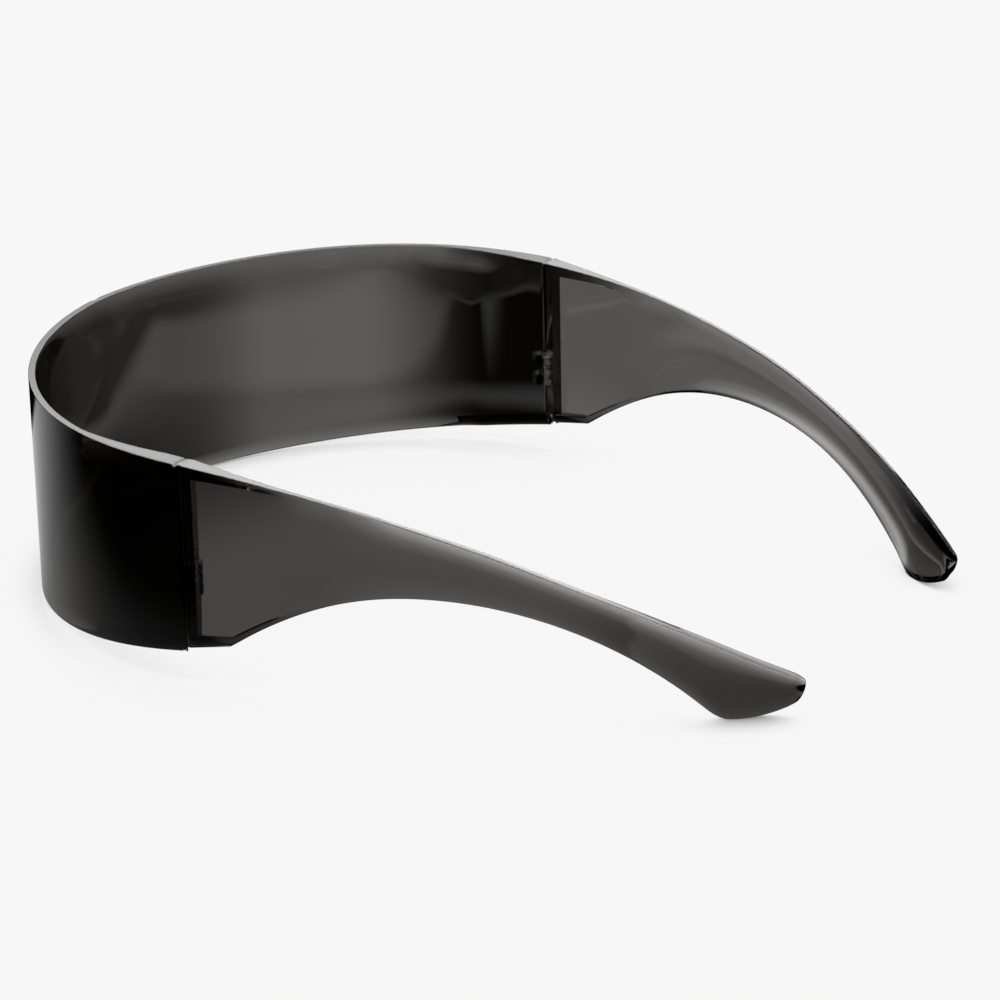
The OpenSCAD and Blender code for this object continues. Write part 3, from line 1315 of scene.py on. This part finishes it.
@dataclass
class Studio:
    """The pale floor, the world, the soft lamp and the camera.

    A fade of the floor is a way in plan, its two edges along that way in mm, and its values there. The plan's
    scale and shift squeeze the shield's outline to a circle of radius 1, and the plan's edges are radii in
    it. A ramp of the sky is its kind, its two edges and its values there.
    """

    backdrop: str = "#f7f7f7"
    # Painted contact shadow: the floor's colour fades to this grey where ambient occlusion finds the glasses
    # close, within this reach and window.
    painted_contact_shade: str = "#848484"
    painted_contact_shade_reach: float = 14.0
    painted_contact_shade_samples: int = 8
    painted_contact_shade_window: Flat = (0.1, 0.7)
    # Painted shade: every ray but the camera's sees the floor as this dark sheet.
    sheet: str = "#1c1c1c"
    sheet_roughness: float = 0.5
    sheet_gloss: float = 0.2
    plain_share: float = 0.93
    # Painted shade of the floor, which only gloss and tinted plastic see: mirrored is the floor's brightness
    # in reflections, shade and inside_shade set how dark the painted shade seen through the plastic gets, and
    # the shield's outline in plan (under, within) bounds it.
    mirrored: float = 0.68
    shade: float = 0.75
    inside_shade: float = 0.34
    plan_scale: Point = (13.70, 14.20, 0.0)
    plan_shift: Point = (0.0, 0.303, 0.0)
    plan_edges: Tuple[Tuple[str, Flat], ...] = (("under", (0.98, 1.02)), ("within", (0.90, 0.97)))
    # Fades of the painted shade: shade, side and front fall where the shield would shade the floor inwards,
    # inside keeps it within the glasses, and room, rear and far paint the floor dark to gloss towards +X,
    # towards the rear and beyond the far side.
    fades: Dict[str, Tuple[Point, Flat, Flat]] = field(
        default_factory=lambda: {
            "shade": ((-0.3, -1.0, 0.0), (34.0, 50.0), (0.0, 1.0)),
            "side": ((1.0, 0.0, 0.0), (-68.0, -20.0), (0.0, 1.0)),
            "front": ((-0.3, -1.0, 0.0), (42.0, 90.0), (0.0, 1.0)),
            "inside": ((1.0, 0.0, 0.0), (-80.0, -60.0), (0.0, 1.0)),
            "room": ((0.86, -0.10, 0.0), (10.0, 100.0), (1.0, 0.0)),
            "rear": ((0.0, 1.0, 0.0), (20.0, 60.0), (1.0, 0.0)),
            "far": ((-1.0, -0.3, 0.0), (60.0, 72.0), (1.0, 0.0)),
        }
    )
    sky: Tuple[Ramp, ...] = (
        ("LINEAR", (0.0, 0.35), (0.0, 1.1)),
        ("SMOOTHSTEP", (0.22, 0.56), (0.0, 3.6)),
        ("SMOOTHSTEP", (0.48, 0.76), (0.0, -3.9)),
    )
    front_sky: Ramp = ("SMOOTHSTEP", (-0.96, -0.86), (0.3, 1.0))
    world_level: float = 0.55
    floor_size: float = 8.0
    floor_gap: float = 0.1
    softbox_place: Point = (0.0, -0.1, 1.3)
    softbox_size: Flat = (1.0, 1.0)
    softbox_power: float = 9.0
    lens: float = 140.04
    sensor: float = 36.0
    clip: Flat = (0.01, 50.0)
    eye: Point = (633.9, 376.95, 295.1)
    right: Point = (-0.4982, 0.8668, -0.0196)
    ahead: Point = (-0.8074, -0.4720, -0.3539)

    def floor_material(self) -> bpy.types.Material:
        """Matt white acrylic sheet with a painted contact shadow, which greys its colour where the glasses
        touch it.

        Gloss and tinted plastic also see a painted shade where the shield would throw it inwards, gloss sees
        the floor painted dark towards the sides and the rear, and every other ray but the camera's sees a
        dark sheet, which is painted shade too.

        Returns:
            The material.
        """
        material = bpy.data.materials.new("floor_white_acrylic")
        tree = fresh_tree(material)
        path = add_node(tree, "ShaderNodeLightPath").outputs
        place = add_node(tree, "ShaderNodeTexCoord").outputs["Object"]
        known = {ray: path[f"Is {ray} Ray"] for ray in ("Camera", "Glossy", "Transmission")}
        for name, (way, edge, values) in self.fades.items():
            dot = {"operation": "DOT_PRODUCT", 1: way}
            along = add_node(tree, "ShaderNodeVectorMath", dot, {0: place})
            span = {1: edge[0] * MM, 2: edge[1] * MM, 3: values[0], 4: values[1]}
            span["interpolation_type"] = "SMOOTHSTEP"
            ramp = add_node(tree, "ShaderNodeMapRange", span, {0: along.outputs["Value"]})
            known[name] = ramp.outputs["Result"]
        squeeze = {"operation": "MULTIPLY_ADD", 1: self.plan_scale, 2: self.plan_shift}
        plan = add_node(tree, "ShaderNodeVectorMath", squeeze, {0: place})
        radius = add_node(tree, "ShaderNodeVectorMath", {"operation": "LENGTH"}, {0: plan.outputs[0]})
        for name, edge in self.plan_edges:
            span = {"interpolation_type": "SMOOTHSTEP", 1: edge[0], 2: edge[1], 3: 1.0, 4: 0.0}
            ramp = add_node(tree, "ShaderNodeMapRange", span, {0: radius.outputs["Value"]})
            known[name] = ramp.outputs["Result"]
        # Painted shade of the floor: gloss sees it dark where the shield's shade would fall and towards the
        # sides and the rear, and tinted plastic sees it dimmed within the shield's outline.
        for name, operation, *inputs in (
            ("painted_thrown_shade", "MULTIPLY", "shade", "side"),
            ("dark", "MULTIPLY", "painted_thrown_shade", "within"),
            ("lit", "SUBTRACT", 1.0, "dark"),
            ("lit_room", "MULTIPLY", "lit", "room"),
            ("lit_rear", "MULTIPLY", "lit_room", "rear"),
            ("lit_far", "MULTIPLY", "lit_rear", "far"),
            ("mirror", "MULTIPLY", "lit_far", self.mirrored),
            ("glossy", "MULTIPLY", "mirror", "Glossy"),
            ("depth", "MULTIPLY_ADD", "front", self.shade - self.inside_shade, self.inside_shade),
            ("depth_inside", "MULTIPLY", "depth", "inside"),
            ("dimming", "MULTIPLY", "depth_inside", "under"),
            ("dimmed", "SUBTRACT", 1.0, "dimming"),
            ("through", "MULTIPLY", "dimmed", "Transmission"),
            ("bent_level", "MAXIMUM", "glossy", "through"),
            ("level", "MAXIMUM", "bent_level", "Camera"),
            ("bent", "MAXIMUM", "Transmission", "Glossy"),
            ("plain", "MULTIPLY", "Camera", self.plain_share),
            ("share", "MAXIMUM", "plain", "bent"),
        ):
            settings = {i: value for i, value in enumerate(inputs) if isinstance(value, float)}
            settings["operation"] = operation
            links = {i: known[value] for i, value in enumerate(inputs) if isinstance(value, str)}
            known[name] = add_node(tree, "ShaderNodeMath", settings, links).outputs[0]
        # Painted contact shadow, from ambient occlusion.
        near = add_node(
            tree,
            "ShaderNodeAmbientOcclusion",
            {"samples": self.painted_contact_shade_samples, "Distance": self.painted_contact_shade_reach * MM},
        )
        start, end = self.painted_contact_shade_window
        open_sky = add_node(
            tree, "ShaderNodeMapRange", {"From Min": start, "From Max": end}, {"Value": near.outputs["AO"]}
        )
        # tone is the backdrop with the painted contact shadow; grey is the backdrop for the camera and the
        # dark painted-shade sheet for every other ray.
        tone, grey = (
            add_node(
                tree,
                "ShaderNodeMix",
                {"data_type": "RGBA", 6: linear(dark), 7: linear(self.backdrop)},
                {0: share},
            ).outputs[2]
            for dark, share in ((self.painted_contact_shade, open_sky.outputs["Result"]), (self.sheet, known["Camera"]))
        )
        # The lit sheet, dark with painted shade for every ray but the camera's.
        sheet = add_node(
            tree,
            "ShaderNodeBsdfPrincipled",
            {"Roughness": self.sheet_roughness, "Specular IOR Level": self.sheet_gloss},
            {"Base Color": grey},
        )
        glow = add_node(tree, "ShaderNodeEmission", links={"Color": tone, "Strength": known["level"]})
        blend = {0: known["share"], 1: sheet.outputs["BSDF"], 2: glow.outputs["Emission"]}
        mix = add_node(tree, "ShaderNodeMixShader", links=blend)
        add_node(tree, "ShaderNodeOutputMaterial", links={"Surface": mix.outputs["Shader"]})
        return material

    def lay_floor(self) -> None:
        """Lays the floor under the glasses."""
        deselect()
        bpy.ops.mesh.primitive_plane_add(size=self.floor_size, location=(0, 0, -self.floor_gap * MM))
        floor = bpy.context.active_object
        floor.name = "studio_floor"
        floor.data.materials.append(self.floor_material())

    def light_world(self) -> None:
        """Shows the backdrop's colour, and gives gloss a sky that brightens from the horizon up."""
        world = bpy.data.worlds.new("studio_backdrop")
        bpy.context.scene.world = world
        tree = fresh_tree(world)
        path = add_node(tree, "ShaderNodeLightPath").outputs
        way = add_node(tree, "ShaderNodeTexCoord").outputs["Object"]
        sides = add_node(tree, "ShaderNodeSeparateXYZ", links={"Vector": way}).outputs
        known = {ray: path[f"Is {ray} Ray"] for ray in ("Camera", "Transmission")}
        ramps = [(ramp, "Z") for ramp in self.sky] + [(self.front_sky, "Y")]
        for i, ((kind, edge, values), side) in enumerate(ramps):
            span = {1: edge[0], 2: edge[1], 3: values[0], 4: values[1], "interpolation_type": kind}
            part = add_node(tree, "ShaderNodeMapRange", span, {0: sides[side]})
            known[f"ramp_{i}"] = part.outputs["Result"]
        for name, operation, *inputs in (
            ("seen", "MAXIMUM", "Camera", "Transmission"),
            ("level", "MULTIPLY_ADD", "seen", 1.0 - self.world_level, self.world_level),
            ("low_sky", "ADD", "ramp_0", "ramp_1"),
            ("whole_sky", "ADD", "low_sky", "ramp_2"),
            ("sky", "MULTIPLY", "whole_sky", "ramp_3"),
        ):
            settings = {i: value for i, value in enumerate(inputs) if isinstance(value, float)}
            settings["operation"] = operation
            links = {i: known[value] for i, value in enumerate(inputs) if isinstance(value, str)}
            known[name] = add_node(tree, "ShaderNodeMath", settings, links).outputs[0]
        choice = {0: path["Is Glossy Ray"], 2: known["level"], 3: known["sky"]}
        strength = add_node(tree, "ShaderNodeMix", {"data_type": "FLOAT"}, choice)
        back = add_node(
            tree,
            "ShaderNodeBackground",
            {"Color": linear(self.backdrop)},
            {"Strength": strength.outputs[0]},
        )
        add_node(tree, "ShaderNodeOutputWorld", links={"Surface": back.outputs["Background"]})

    def hang_softbox(self) -> None:
        """Hangs the soft lamp over the glasses, aimed at the floor's middle and seen by no gloss."""
        lamp = bpy.data.lights.new("top_softbox", "AREA")
        lamp.shape = "RECTANGLE"
        lamp.size, lamp.size_y = self.softbox_size
        lamp.energy = self.softbox_power
        holder = bpy.data.objects.new("top_softbox", lamp)
        bpy.context.collection.objects.link(holder)
        holder.location = self.softbox_place
        way = Vector() - Vector(self.softbox_place)
        holder.rotation_mode = "QUATERNION"
        holder.rotation_quaternion = way.to_track_quat("-Z", "Y")
        holder.visible_camera = False
        holder.visible_glossy = False

    def place_camera(self) -> None:
        """Puts the camera where the photograph was taken."""
        data = bpy.data.cameras.new("photo_camera")
        data.lens = self.lens
        data.sensor_width = self.sensor
        data.clip_start, data.clip_end = self.clip
        camera = bpy.data.objects.new("photo_camera", data)
        bpy.context.collection.objects.link(camera)
        x = Vector(self.right).normalized()
        z = -Vector(self.ahead).normalized()
        y = z.cross(x).normalized()
        x = y.cross(z)
        turn = Matrix((x, y, z)).transposed().to_4x4()
        camera.matrix_world = Matrix.Translation(Vector(self.eye) * MM) @ turn
        bpy.context.scene.camera = camera

    def build(self) -> None:
        """Builds the whole studio."""
        self.lay_floor()
        self.light_world()
        self.hang_softbox()
        self.place_camera()
        bpy.context.scene.view_settings.view_transform = "Standard"


def dress(
    piece: bpy.types.Object, finish: bpy.types.Material, body: str, node: str
) -> None:
    """Smooths a piece, gives it its finish and puts it in a CAD node's place.

    Args:
        piece: The new piece.
        finish: Its material.
        body: The body that it rides on.
        node: The CAD node that it stands for.
    """
    take_up(piece)
    bpy.ops.object.shade_smooth_by_angle(angle=math.radians(SMOOTH_ANGLE))
    piece.data.materials.clear()
    piece.data.materials.append(finish)
    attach(piece, body)
    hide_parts(node)
    log.info("%s: %d faces on %s", piece.name, len(piece.data.polygons), body)


def main() -> None:
    """Builds the glasses and the studio."""
    logging.basicConfig(level=logging.INFO, format="%(message)s")
    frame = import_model()
    deselect()
    shared = Proportions()
    smoke = SmokePolycarbonate().make()
    Shield(shared).build(smoke)
    for side in Side:
        Temple(shared, side).build(smoke)
        Hinge(shared, side).dress_screw(frame["nodes"][f"hinge_screw_{side.word}"])
    Studio().build()


if __name__ == "__main__":
    main()
